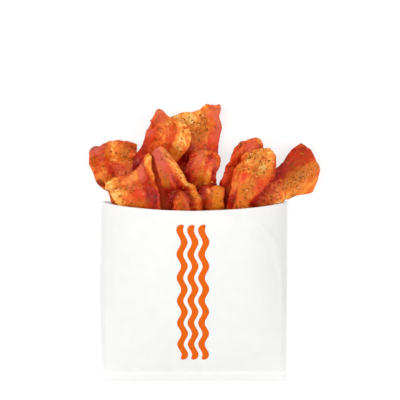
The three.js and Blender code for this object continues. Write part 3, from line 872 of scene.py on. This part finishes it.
centreFront = {
    "node": "strip_centre_front",
    "stations": [
        [-5, 62, 13.9, 18, 0, 0.2],
        [-4.5, 80.5, 14.4, 18, 0, 0.2],
        [-3.5, 99, 15.3, 18, 3, 0.3],
        [-4.5, 117.5, 17, 18, 6, 0.5],
        [-10.5, 130, 20.5, 17.5, 22, 1.6],
        [-21, 151, 22.5, 10.5, 22, 1.4],
    ],
    "tip": [-0.5, -0.5, 1, 0.5, -3],
    "ripples": [4.8, 0.25, 0.6],
    "curl": [0, 1.5],
    "groove": [0, 0, 0.2],
    "peppered": [15, 0.56, 0.93, -0.8, 0.8],
    "atMouth": [
        (-1, 0.15), (-0.5, 0.08), (-0.1, 0.08), (0.2, 0.15), (0.5, 0.38), (0.8, 0.55), (1, 0.45),
    ],
    "atTip": [(-1, 0.42), (-0.5, 0.42), (0, 0.4), (0.3, 0.5), (0.55, 0.78), (0.8, 0.86), (1, 0.6)],
    "patches": {
        # the deep patches at 0.81, 0.74 and 0.75 are painted shade in the gaps beside the strips in
        # front
        "fatShadeAndHighlight": [
            (0.92, 0.78, 7, 1.6, 0.8), (0.905, -0.4, 0.6, 4.5, 0.4), (0.81, 0.22, 5, 2.4, -1.0),
            (0.74, 0.42, 8, 2.4, -1.0), (0.75, -0.6, 9, 4, -0.9), (0.8, 0.93, 9, 1.4, 0.7),
        ],
        "glazePoolAndPaintedLight": [(0.88, -0.3, 2.5, 4, 0.7), (0.8, 0.68, 6, 2, 0.7)],
        # the mauve at the top is a painted sheen on the lean
        "blushAndSheen": [(0.97, -0.25, 7, 6, 1.0), (0.91, -0.3, 4.5, 5, 0.9), (0.85, 0.0, 3.5, 3, 0.45)],
        "amber": [(0.86, -0.6, 5, 3, 0.6), (0.68, 0.85, 6, 2, 0.5)],
        "dust": [
            (0.94, -0.1, 1.5, 4, 0.7), (0.86, -0.5, 5, 4, 1.0), (0.63, 0.55, 4, 3, 1.0),
            (0.62, 0.9, 2, 2, 0.7),
        ],
    },
}
lowLobe = {
    "node": "strip_low_lobe",
    "stations": [
        [-11, 79, 17.5, 12, 0, 0.1],
        [-10.5, 88, 17.9, 12, 0, 0.1],
        [-9.5, 96.5, 18.6, 12.5, 0, 0.2],
        [-9, 105.5, 19.4, 13, 0, 0.2],
        [-7.5, 112.5, 20.2, 11, 0, 0.3],
        [-7, 125, 23.2, 9.5, 8, 0.4],
    ],
    "tip": [-1.5, 1, 1, 0, -5],
    "ripples": [2.8, 0.1, 0],
    "curl": [0, 0],
    "groove": [0, 0, 0.2],
    "peppered": [4, 0.8, 0.96, -0.6, 0.6],
    "atMouth": [(-1, 0.2), (-0.5, 0.26), (0, 0.24), (0.5, 0.26), (1, 0.4)],
    "atTip": [(-1, 0.2), (-0.5, 0.26), (0, 0.22), (0.5, 0.28), (1, 0.4)],
    "patches": {
        "fatShadeAndHighlight": [(1.0, 0.1, 3, 4, -0.8)],
        "blushAndSheen": [(0.93, 0.6, 5, 2, 0.3)],
        "amber": [(0.88, -0.2, 6, 3, 0.4)],
        "dust": [(0.86, 0.6, 4, 2, 0.9)],
    },
}
backRight = {
    "node": "strip_back_right",
    "stations": [
        [29, 59.5, 6.3, 19, 0, 0.2],
        [28, 78.5, 6.7, 20, 0, 0.2],
        [27, 97.5, 7.4, 21, 0, 0.3],
        [24.5, 118, 9, 21, 0, 0.6],
        [29, 136.5, 10.8, 21, 0, 1.4],
        [32.5, 153.5, 12.4, 16.5, 0, 1.6],
    ],
    "tip": [-5, -1, 0.5, 2.5, 0],
    "ripples": [4.8, 0.05, 0.5],
    "curl": [2.5, 0],
    "groove": [0, 0, 0.2],
    "peppered": [8, 0.66, 0.96, -0.85, 0.3],
    "atMouth": [(-1, 0.2), (-0.6, 0.2), (0, 0.22), (1, 0.22)],
    "atTip": [(-1, 0.42), (-0.6, 0.46), (0, 0.48), (0.5, 0.52), (1, 0.58)],
    "patches": {
        "fatShadeAndHighlight": [(0.84, -0.45, 6, 2, -0.6)],
        "glazePoolAndPaintedLight": [(0.94, 0.0, 6, 6, 0.35), (0.86, -0.85, 8, 2.5, 0.8), (0.76, -0.8, 8, 3, 0.7)],
        "blushAndSheen": [(0.96, 0.2, 4, 6, 0.5)],
        "char": [(0.98, -0.7, 2.5, 1.5, 0.9), (0.98, 0.75, 2.5, 1.5, 0.7)],
    },
}
frontRight = {
    "node": "strip_front_right",
    "stations": [
        [29, 60.5, 10.2, 16, 0, 0.2],
        [28.5, 78.5, 10.9, 17, 0, 0.2],
        [29, 96, 12.2, 19, -3, 0.3],
        [27.5, 116, 14.4, 16.5, -14, 0.6],
        [35.5, 137, 16.8, 24.5, -6, 1.5],
        [36.5, 147.5, 18.4, 17, 0, 1.8],
    ],
    "tip": [-2, 0, 2.5, 3, 3.5],
    "ripples": [4.4, 0.4, -0.6],
    "curl": [2, 0],
    "groove": [-0.6, 1.6, 0.25],
    "peppered": [20, 0.58, 0.97, -0.8, 0.85],
    "atMouth": [(-1, 0.4), (-0.7, 0.52), (-0.45, 0.6), (0, 0.62), (0.4, 0.6), (0.7, 0.45), (1, 0.2)],
    "atTip": [
        (-1, 0.5), (-0.75, 0.66), (-0.4, 0.78), (0.2, 0.82), (0.6, 0.8), (0.85, 0.7), (1, 0.55),
    ],
    "patches": {
        # the deep patches at 0.62 and 0.64 are painted shade at the mouth, in the gaps beside the
        # neighbouring strips
        "fatShadeAndHighlight": [
            (0.97, 0.75, 4, 3, 0.5), (0.83, 0.4, 5, 4, 0.5), (0.9, -0.5, 8, 1.4, 0.4),
            (0.78, -0.85, 8, 1.3, 0.4), (0.62, -0.75, 3.5, 3.5, -1.0), (0.64, 0.85, 5, 2.5, -0.9),
            (0.82, 0.97, 6, 1.0, -0.5),
        ],
        "glazePoolAndPaintedLight": [(0.74, -0.4, 3, 2.2, 1.0), (0.73, 0.6, 3.5, 2.6, 1.0)],
        "amber": [(0.96, -0.1, 5, 5, 0.5), (0.68, -0.1, 5, 5, 0.6)],
        "dust": [(0.92, 0.05, 11, 8, 0.95), (0.8, 0.2, 9, 7, 0.95), (0.68, 0.1, 6, 5, 0.9)],
    },
}
farRight = {
    "node": "strip_far_right",
    "stations": [
        [31.5, 58, 2.6, 20, 0, 0.2],
        [32, 76, 2.7, 21, 0, 0.2],
        [34.5, 94, 3.2, 21, 0, 0.2],
        [39.5, 111, 4.9, 17.5, 0, 0.2],
        [50, 124, 4.8, 17.5, 0, 0.8],
        [71.5, 141.5, 5.2, 28.5, 0, 1.8],
    ],
    "tip": [0, 1.5, 0.5, -2, -12.5],
    "ripples": [4.7, 0.6, 0.7],
    "curl": [2.5, 0],
    "groove": [0, 1.2, 0.4],
    "peppered": [22, 0.62, 0.97, -0.8, 0.85],
    "atMouth": [(-1, 0.1), (-0.5, 0.4), (0, 0.55), (0.4, 0.58), (0.8, 0.66), (1, 0.85)],
    "atTip": [
        (-1, 0.3), (-0.6, 0.26), (-0.2, 0.34), (0.1, 0.48), (0.4, 0.5), (0.7, 0.58),
        (0.9, 0.68), (1, 0.62),
    ],
    "patches": {
        # the deep upper-left patches are painted shade in the hollow of the curled strip, and the
        # red over them at 0.95 paints that shade crimson
        "fatShadeAndHighlight": [
            (0.9, -0.4, 8, 6, -0.9), (0.97, -0.6, 3, 5, -0.8), (0.86, -0.85, 5, 3.5, -1.0),
            (0.88, 0.85, 8, 2, 0.5), (0.7, 0.82, 10, 1.6, 0.8),
        ],
        "glazePoolAndPaintedLight": [(0.95, -0.55, 8, 6, 0.5), (0.67, -0.2, 5, 4, 0.5)],
        "blushAndSheen": [(0.77, -0.1, 5, 5, 0.3)],
        "amber": [(0.98, 0.2, 3, 3, 0.8), (0.9, 0.28, 10, 5.5, 0.9), (0.93, 0.85, 6, 2, 0.5)],
        "dust": [(0.93, -0.4, 8, 6, 0.85), (0.91, 0.28, 10, 6, 1.0), (0.74, 0.4, 8, 4, 0.5)],
        "char": [(0.99, -0.8, 2, 3, 0.6), (0.9, 0.97, 3, 1, 0.6)],
    },
}
strips = [
    farLeft, frontLeft, centreLeft, tallCentre, centreRed, lowAmber,
    centreFront, lowLobe, backRight, frontRight, farRight,
]


def stripLength(strip):
    line = splineAt([station[:3] for station in strip["stations"]], np.linspace(0, 1, 80))
    return np.linalg.norm(np.diff(line, axis=0), axis=1).sum()


def halfWidthAt(strip, along):
    return splineAt([station[3:4] for station in strip["stations"]], along)[..., 0] / 2


marbling = {
    "sways": [(0.13, 50, 13), (0.06, 90, 4)],  # share of the half width, place and cell
    "turnover": (0.68, 0.95),  # shares of the length between which atMouth turns into atTip
    "cloud": (0.07, 5),  # unevenness of the fat, and its cell
    "dusting": 0.08,  # pepper dust that lies everywhere
    "drift": (0.12, 6),  # its unevenness, and the cell of that
    "fray": (0.55, 2.4),  # the same for the outlines of the patches
    "patchEdge": 1.6,  # how sharply a patch ends
    "brownFrom": (0.86, 0.975),  # shares of the half width and of the length
    "brownSpots": (0.5, 5, 0.1),  # strength, cell, and how far they spread
}


def tissueOf(strip, along, across):
    # what the strip is made of at each place, how it is browned and dusted, and where shade and
    # highlights are painted into its colour
    length, halfWidth, seed = strip["length"], halfWidthAt(strip, along), strip["seed"]
    down, over = along * length, across * halfWidth
    sway = sum(
        much * patchwork(down, over + place, cell, seed + k)
        for k, (much, place, cell) in enumerate(marbling["sways"])
    )
    mouth, tip = (
        np.interp(across + sway, *np.array(strip[end], float).T) for end in ("atMouth", "atTip")
    )
    opened = smooth(*marbling["turnover"], along)
    much, cell = marbling["cloud"]
    fatShadeAndHighlight = mouth * (1 - opened) + tip * opened + much * patchwork(down, over, cell, seed + 2)
    tissue = {name: np.zeros_like(along) for name in ("glazePoolAndPaintedLight", "blushAndSheen", "amber", "dust", "char")}
    much, cell = marbling["drift"]
    tissue["dust"] += marbling["dusting"] + much * patchwork(down, over, cell, seed + 3)
    much, cell = marbling["fray"]
    fray = 1 + much * patchwork(down, over, cell, seed + 4)
    for name, patches in strip["patches"].items():
        for a, c, tall, broad, strength in patches:
            far = ((along - a) * length / tall) ** 2 + ((across - c) * halfWidth / broad) ** 2
            much = abs(strength) * np.exp(-(np.maximum(far * fray, 0) ** marbling["patchEdge"]))
            if name == "fatShadeAndHighlight":
                fatShadeAndHighlight = fatShadeAndHighlight + much * ((strength > 0) - fatShadeAndHighlight)
            else:
                tissue[name] = np.maximum(tissue[name], much)
    # the thin edges and the cut end brown first
    edge, end = marbling["brownFrom"]
    rimmed = np.clip(smooth(edge, 1, np.abs(across)) + smooth(end, 1, along), 0, 1)
    strength, cell, spread = marbling["brownSpots"]
    spots = np.clip(patchwork(down, over, cell, seed + 5) + spread, 0, 1)
    tissue["char"] = np.maximum(tissue["char"], strength * rimmed * spots)
    tissue["fatShadeAndHighlight"] = fatShadeAndHighlight
    return {name: np.clip(values, 0, 1) for name, values in tissue.items()}


frying = {
    "seenFrom": (0.5, 0.62),  # shares of the length between which the unevenness sets in
    "frill": 0.3,  # short waves along the two edges
    "frillWave": 7.0,
    "frillFrom": 0.45,  # share of the half width
    "frillSides": 2.1,  # radians that set the two edges' waves apart
    "frillWander": (1.5, 9),  # radians, and cell
    "blister": (0.38, 1.7),  # height and cell of the small bubbles of the fat
    "blisterFat": (0.45, 0.8),
    "shrink": 0.28,  # how far the lean lies below the fat
    "shrinkFat": (0.15, 0.7),
    "shrinkLevel": 0.6,  # this much of it keeps the stations' height
    # unevenness of the whole face: height, cell, how much tighter it is along, and own seed
    "puckers": [(0.3, 4.2, 1, 7), (0.15, 2.1, 1.4, 8), (0.09, 1.1, 1, 13)],
    "strand": (0.06, 0.75, 9),  # height, width and length of the strands of lean
    "strandFat": (0.3, 0.6),
    "rags": [(0.35, 3.4, 10), (0.21, 1.3, 11)],  # the same of the two edges
    "ragSides": 7,  # keeps the rags of the two edges apart
    "endRag": (0.45, 2.3),
}


def reliefOf(strip, along, across, tissue):
    # what frying does to the surface and to the cut edges
    seed, fatShadeAndHighlight = strip["seed"], tissue["fatShadeAndHighlight"]
    down, over = along * strip["length"], across * halfWidthAt(strip, along)
    shown = smooth(*frying["seenFrom"], along)
    side = np.sign(across)
    much, cell = frying["frillWander"]
    wander = frying["frillSides"] * side + much * patchwork(down, side, cell, seed)
    frill = np.sin(2 * math.pi * down / frying["frillWave"] + wander)
    height = frying["frill"] * smooth(frying["frillFrom"], 1, np.abs(across)) * frill
    much, cell = frying["blister"]
    bubbles = np.clip(patchwork(down, over, cell, seed + 6), 0, 1)
    height = height + much * bubbles * smooth(*frying["blisterFat"], fatShadeAndHighlight)
    for much, cell, squeeze, own in frying["puckers"]:
        height = height + much * patchwork(down * squeeze, over, cell, seed + own)
    height = shown * height + frying["shrink"] * (
        smooth(*frying["shrinkFat"], fatShadeAndHighlight) - frying["shrinkLevel"]
    )
    much, broad, drawnOut = frying["strand"]
    strands = patchwork(down / drawnOut, over, broad, seed + 9)
    height = height + much * strands * (1 - smooth(*frying["strandFat"], fatShadeAndHighlight))
    rag = sum(
        much * patchwork(down, frying["ragSides"] * side, cell, seed + own)
        for much, cell, own in frying["rags"]
    )
    much, cell = frying["endRag"]
    endRag = much * patchwork(over, 0 * over, cell, seed + 12) * smooth(cut["endStart"], 1, along)
    return {"height": height, "rag": rag * shown, "endRag": endRag}


def stripSurface(strip, along, across, relief):
    # middle surface of the strip, with its relief
    stations = strip["stations"]
    line = [station[:3] for station in stations]
    nudge = 1e-4
    centre, ahead, behind = (
        splineAt(line, np.clip(along + step, 0, 1)) for step in (0, nudge, -nudge)
    )
    tangent = unit(ahead - behind)
    width, roll, ripple = np.moveaxis(splineAt([station[3:] for station in stations], along), -1, 0)
    level = unit(np.cross(tangent, [0, 0, 1.0]))
    up = np.cross(level, tangent)
    angle = np.radians(roll)[..., None]
    side = np.cos(angle) * level + np.sin(angle) * up
    face = np.cos(angle) * up - np.sin(angle) * level

    edge = across**2
    count, start, skew = strip["ripples"]
    wave = np.sin(2 * math.pi * (count * along + start) + skew * across)
    grooveAt, grooveDepth, grooveHalf = strip["groove"]
    curl = np.where(across < 0, *strip["curl"])
    fold = grooveDepth * np.exp(-(((across - grooveAt) / grooveHalf) ** 2))
    opened = smooth(*cut["curlFrom"], along)
    height = ripple * wave * (cut["middleRipple"] + (1 - cut["middleRipple"]) * edge)
    height = height + opened * (curl * edge - fold) + relief["height"]
    pace = 2 * math.pi * cut["wanderPace"] * count
    wander = cut["edgeWander"] * np.sin(pace * along + cut["wanderSkew"] * across)
    reach = splineAt([[value] for value in strip["tip"]], (across + 1) / 2)[..., 0]
    reach = reach * smooth(cut["tipStart"], 1, along) + relief["endRag"]
    reach = reach - cut["rimRound"] * smooth(cut["endStart"], 1, along)
    out = (width / 2 + wander + relief["rag"] - cut["rimRound"]) * across
    return centre + side * out[..., None] + face * height[..., None] + tangent * reach[..., None]


def fryStrip(strip, number):
    strip["seed"] = 100 * (number + 1)
    strip["length"] = stripLength(strip)
    broadest = max(station[3] for station in strip["stations"])
    rows = round(strip["length"] / cut["cell"])
    columns = 2 * round(broadest / cut["cell"] / 2)
    share = np.linspace(0, 1, rows + 1)
    alongs = share + cut["crowding"] * np.sin(math.pi * share)
    share = np.linspace(-1, 1, columns + 1)
    acrosses = share + cut["edgeCrowding"] * (np.sin(share * math.pi / 2) - share)
    along, across = np.meshgrid(alongs, acrosses, indexing="ij")
    tissue = tissueOf(strip, along, across)
    middle = stripSurface(strip, along, across, reliefOf(strip, along, across, tissue))
    normal = unit(np.cross(np.gradient(middle, axis=1), np.gradient(middle, axis=0)))
    half = cut["thickness"] / 2 * (1 - cut["edgeThinning"] * np.abs(across) ** 6)

    outward = np.zeros_like(middle)
    outward[:, 0] += unit(middle[:, 0] - middle[:, 1])
    outward[:, -1] += unit(middle[:, -1] - middle[:, -2])
    outward[0] += unit(middle[0] - middle[1])
    outward[-1] += unit(middle[-1] - middle[-2])
    core, rise, outward = (
        values.reshape(-1, 3) for values in (middle, normal * half[..., None], unit(outward))
    )
    rowLength, total = columns + 1, len(core)
    last = rows * rowLength
    rim = [*range(columns), *range(columns, last, rowLength)]
    rim += [*range(last + columns, last, -1), *range(last, 0, -rowLength)]
    points = [core + rise, core - rise]
    rings = [rim]
    for k in range(cut["rimRows"]):
        turn = math.pi / 2 - math.pi * (k + 1) / (cut["rimRows"] + 1)
        bulge = outward[rim] * cut["rimRound"] * math.cos(turn)
        points.append(core[rim] + rise[rim] * math.sin(turn) + bulge)
        first = 2 * total + k * len(rim)
        rings.append([*range(first, first + len(rim))])
    rings.append([total + m for m in rim])

    faces = []
    for i in range(rows):
        for j in range(columns):
            a = i * rowLength + j
            b, c, d = a + 1, a + rowLength + 1, a + rowLength
            faces.append((a, b, c, d))
            faces.append((total + a, total + d, total + c, total + b))
    for upper, lower in zip(rings, rings[1:]):
        for m in range(len(rim)):
            n = (m + 1) % len(rim)
            faces.append((upper[m], lower[m], lower[n], upper[n]))

    piece = newPiece(
        strip["node"].replace("strip", "bacon"), np.vstack(points), faces, bacon
    )
    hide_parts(strip["node"])
    source = np.concatenate([np.arange(total), np.arange(total), *[rim] * cut["rimRows"]])
    for name, values in tissue.items():
        storeOn(piece, name, values.ravel()[source])
    ownPlace, undersidePlace = cut["streakShift"]
    over = across * halfWidthAt(strip, along)
    lay = np.stack([over, along * strip["length"], np.full_like(along, ownPlace * number)], -1)
    lay = lay.reshape(-1, 3)[source]
    lay[total : 2 * total, 2] += undersidePlace
    storeOn(piece, "lay", lay, "FLOAT_VECTOR")
    strip["upper"] = points[0].reshape(*along.shape, 3)
    strip["grid"] = (alongs, acrosses)
    return piece


baconPieces = [fryStrip(strip, number) for number, strip in enumerate(strips)]
print("strips fried:", sum(len(piece.data.polygons) for piece in baconPieces), "faces")


strewing = {
    "from": 0.5,  # share of the strip's length from which it is strewn
    "headroom": 1.1,  # nothing is strewn where another piece lies closer than this
    "clearance": 0.05,  # from where the headroom is measured
}


def overheadTree():
    points, faces = [], []
    for piece in baconPieces + [bpy.data.objects["paper_sleeve_white"]]:
        first = len(points)
        points += [vertex.co for vertex in piece.data.vertices]
        faces += [tuple(first + k for k in polygon.vertices) for polygon in piece.data.polygons]
    return BVHTree.FromPolygons(points, faces)


def placeOn(strip, along, across):
    # a place on the strip's upper face and the direction out of it
    i, j = (
        int(np.clip(np.searchsorted(grid, share), 1, len(grid) - 2))
        for grid, share in zip(strip["grid"], (along, across))
    )
    upper = strip["upper"]
    return upper[i, j], unit(
        np.cross(upper[i, j + 1] - upper[i, j - 1], upper[i + 1, j] - upper[i - 1, j])
    )


def isCovered(place, normal):
    start = Vector(toFrame(place + normal * strewing["clearance"]))
    return overhead.ray_cast(start, Vector(normal), strewing["headroom"] * mm)[0] is not None


def tissueAt(strip, name, along, across):
    return tissueOf(strip, np.array([along]), np.array([across]))[name][0]


def scatter(draw, strip, density, toAlong, toAcross):
    # random places on the half of the strip that is strewn
    start = strewing["from"]
    area = (1 - start) * strip["length"] * strip["stations"][-1][3]
    for _ in range(round(area * density)):
        yield draw.uniform(start, toAlong), draw.uniform(-toAcross, toAcross)


pepper = {
    "large": (0.6, 1.0),  # radius of the flakes that the solids carry as well
    "small": (0.45, 0.85),
    "thinnest": 0.004,  # flakes for each mm2 of the barest meat
    "thickest": 0.125,  # and of the most dusted
    "reach": (0.995, 0.96),  # shares of the length and half width that they go up to
    "evenSteps": (0.7549, 0.5698),  # spreads the large ones evenly
    "corners": 6,
    "cornerShift": 0.6,
    "cornerReach": (0.75, 1.1),
    "tilt": 0.35,
    "flatness": (0.25, 0.42),
    "stretch": (0.7, 1.0),
    "rimRise": (0.45, 0.85),
    "peakRise": (1.1, 1.7),
    "peakShift": 0.3,
    "sunk": 0.5,  # share of the radius that lies in the meat
    "tone": (1.3, 2.4),  # mostly dark husk, with few pale cores
}


def strewPepper():
    draw = np.random.default_rng(31)
    points, faces, tones = [], [], []
    corners = pepper["corners"]

    def strew(strip, along, across, radius):
        place, normal = placeOn(strip, along, across)
        if isCovered(place, normal):
            return
        lean = unit(normal + pepper["tilt"] * draw.normal(size=3))
        first = unit(np.cross(lean, [0.3, 1.0, 0.2]))
        second = np.cross(lean, first)
        thickness = radius * draw.uniform(*pepper["flatness"])
        stretch = draw.uniform(*pepper["stretch"])
        start = len(points)
        for k in range(corners):
            angle = 2 * math.pi * (k + draw.uniform(0, pepper["cornerShift"])) / corners
            reach = radius * draw.uniform(*pepper["cornerReach"])
            outward = first * math.cos(angle) + second * stretch * math.sin(angle)
            rise = thickness * draw.uniform(*pepper["rimRise"])
            points.append(place + outward * reach + lean * rise)
        peak = thickness * draw.uniform(*pepper["peakRise"])
        shift = radius * draw.uniform(-pepper["peakShift"], pepper["peakShift"])
        points.append(place + lean * peak + (first + second) * shift)
        points.append(place - lean * radius * pepper["sunk"])
        for k in range(corners):
            n = (k + 1) % corners
            faces.append((start + k, start + n, start + corners))
            faces.append((start + n, start + k, start + corners + 1))
        tones.extend([draw.beta(*pepper["tone"])] * (corners + 2))

    barest, most = pepper["thinnest"], pepper["thickest"]
    alongStep, acrossStep = pepper["evenSteps"]
    for strip in strips:
        count, fromAlong, toAlong, fromAcross, toAcross = strip["peppered"]
        for k in range(1, count + 1):
            along = fromAlong + (toAlong - fromAlong) * (k * alongStep % 1)
            across = fromAcross + (toAcross - fromAcross) * (k * acrossStep % 1)
            strew(strip, along, across, draw.uniform(*pepper["large"]))
        for along, across in scatter(draw, strip, most, *pepper["reach"]):
            wanted = barest + (most - barest) * tissueAt(strip, "dust", along, across)
            if draw.uniform() * most < wanted:
                strew(strip, along, across, draw.uniform(*pepper["small"]))
    piece = newPiece("cracked_pepper", points, faces, husk)
    piece.data.shade_flat()
    storeOn(piece, "tone", tones)
    print("pepper strewn:", len(faces) // (2 * corners), "flakes")


glaze = {
    "bead": (0.3, 0.55),  # radius
    "stretch": (1.0, 1.9),  # along the strip
    "density": 0.024,  # beads for each mm2
    "reach": (0.99, 0.93),  # shares of the length and half width that they go up to
    "rings": ((1.0, -0.15), (0.72, 0.2)),  # reach and rise, as shares of the radius
    "top": 0.34,
    "corners": 6,
}


def beadGlaze():
    draw = np.random.default_rng(47)
    points, faces, tones = [], [], []
    corners = glaze["corners"]
    for strip in strips:
        for along, across in scatter(draw, strip, glaze["density"], *glaze["reach"]):
            radius, stretch = draw.uniform(*glaze["bead"]), draw.uniform(*glaze["stretch"])
            place, normal = placeOn(strip, along, across)
            if isCovered(place, normal):
                continue
            lengthwise = unit(np.cross(normal, [1.0, 0.2, 0.1]))
            crosswise = np.cross(normal, lengthwise)
            start = len(points)
            for reach, rise in glaze["rings"]:
                for angle in np.arange(corners) * 2 * math.pi / corners:
                    outward = lengthwise * stretch * math.cos(angle) + crosswise * math.sin(angle)
                    points.append(place + radius * (outward * reach + normal * rise))
            points.append(place + normal * radius * glaze["top"])
            for k in range(corners):
                a, b = start + k, start + (k + 1) % corners
                faces.append((a, b, b + corners, a + corners))
                faces.append((a + corners, b + corners, start + 2 * corners))
            faces.append(tuple(start + k for k in reversed(range(corners))))
            tones.extend([tissueAt(strip, "fatShadeAndHighlight", along, across)] * (2 * corners + 1))
    piece = newPiece("glaze_beads", points, faces, sugar)
    storeOn(piece, "tone", tones)
    print("glaze beaded:", len(points) // (2 * corners + 1), "beads")


overhead = overheadTree()
strewPepper()
beadGlaze()
